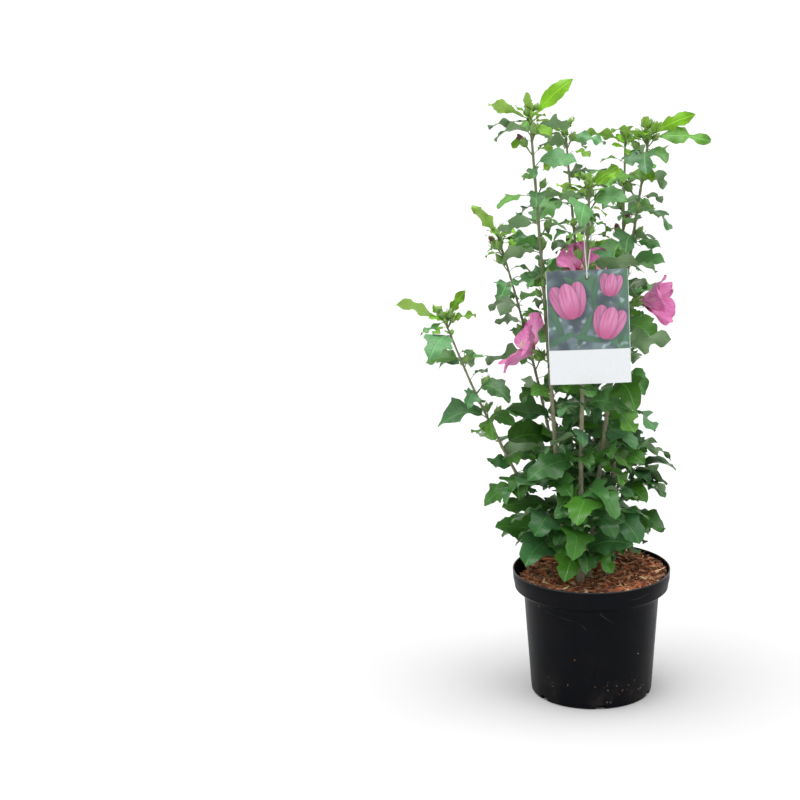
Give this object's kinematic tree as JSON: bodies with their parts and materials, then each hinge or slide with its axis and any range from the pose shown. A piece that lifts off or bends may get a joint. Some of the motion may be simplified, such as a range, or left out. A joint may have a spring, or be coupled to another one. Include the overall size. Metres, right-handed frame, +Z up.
{
  "type": "potted hibiscus shrub",
  "caption": "Multi-stemmed hibiscus shrub with lobed leaves, buds and pink flowers in a tapered nursery pot with bark mulch and a hanging picture label.",
  "frame": {"origin": "middle of the pot's flat underside", "axes": "+Z up, +X to the right of the shrub as its label faces the viewer, +Y away from the viewer"},
  "size_m": [0.4332, 0.3463, 0.8809],
  "materials": {
    "pot_plastic": "satin black moulded plastic with a few scuffs",
    "bark_mulch": "loose red-brown bark chips",
    "stem_bark": "grey-brown young bark with fine ridges",
    "foliage": "satin green leaves, pink petals and green buds",
    "label_card": "smooth printed sheet",
    "label_tie": "white plastic tie"
  },
  "bodies": {
    "root": {"crown_back": "foliage", "crown_far_left": "foliage", "crown_front": "foliage", "crown_left": "foliage", "crown_right_back": "foliage", "crown_tall_centre": "foliage", "crown_tall_left": "foliage", "crown_tall_right": "foliage", "label_card": "label_card", "label_tie": "label_tie", "pot": "pot_plastic", "potting_mix": "bark_mulch", "spray_far_left_1": "foliage", "spray_front_1": "foliage", "spray_front_3": "foliage", "spray_left_1": "foliage", "spray_left_2": "foliage", "spray_right_back_1": "foliage", "spray_right_back_2": "foliage", "spray_tall_centre_1": "foliage", "spray_tall_centre_2": "foliage", "spray_tall_centre_3": "foliage", "spray_tall_left_2": "foliage", "spray_tall_right_1": "foliage", "spray_tall_right_2": "foliage", "stem_back": "stem_bark", "stem_far_left": "stem_bark", "stem_front": "stem_bark", "stem_left": "stem_bark", "stem_right_back": "stem_bark", "stem_tall_centre": "stem_bark", "stem_tall_left": "stem_bark", "stem_tall_right": "stem_bark"}
  },
  "joints": []
}
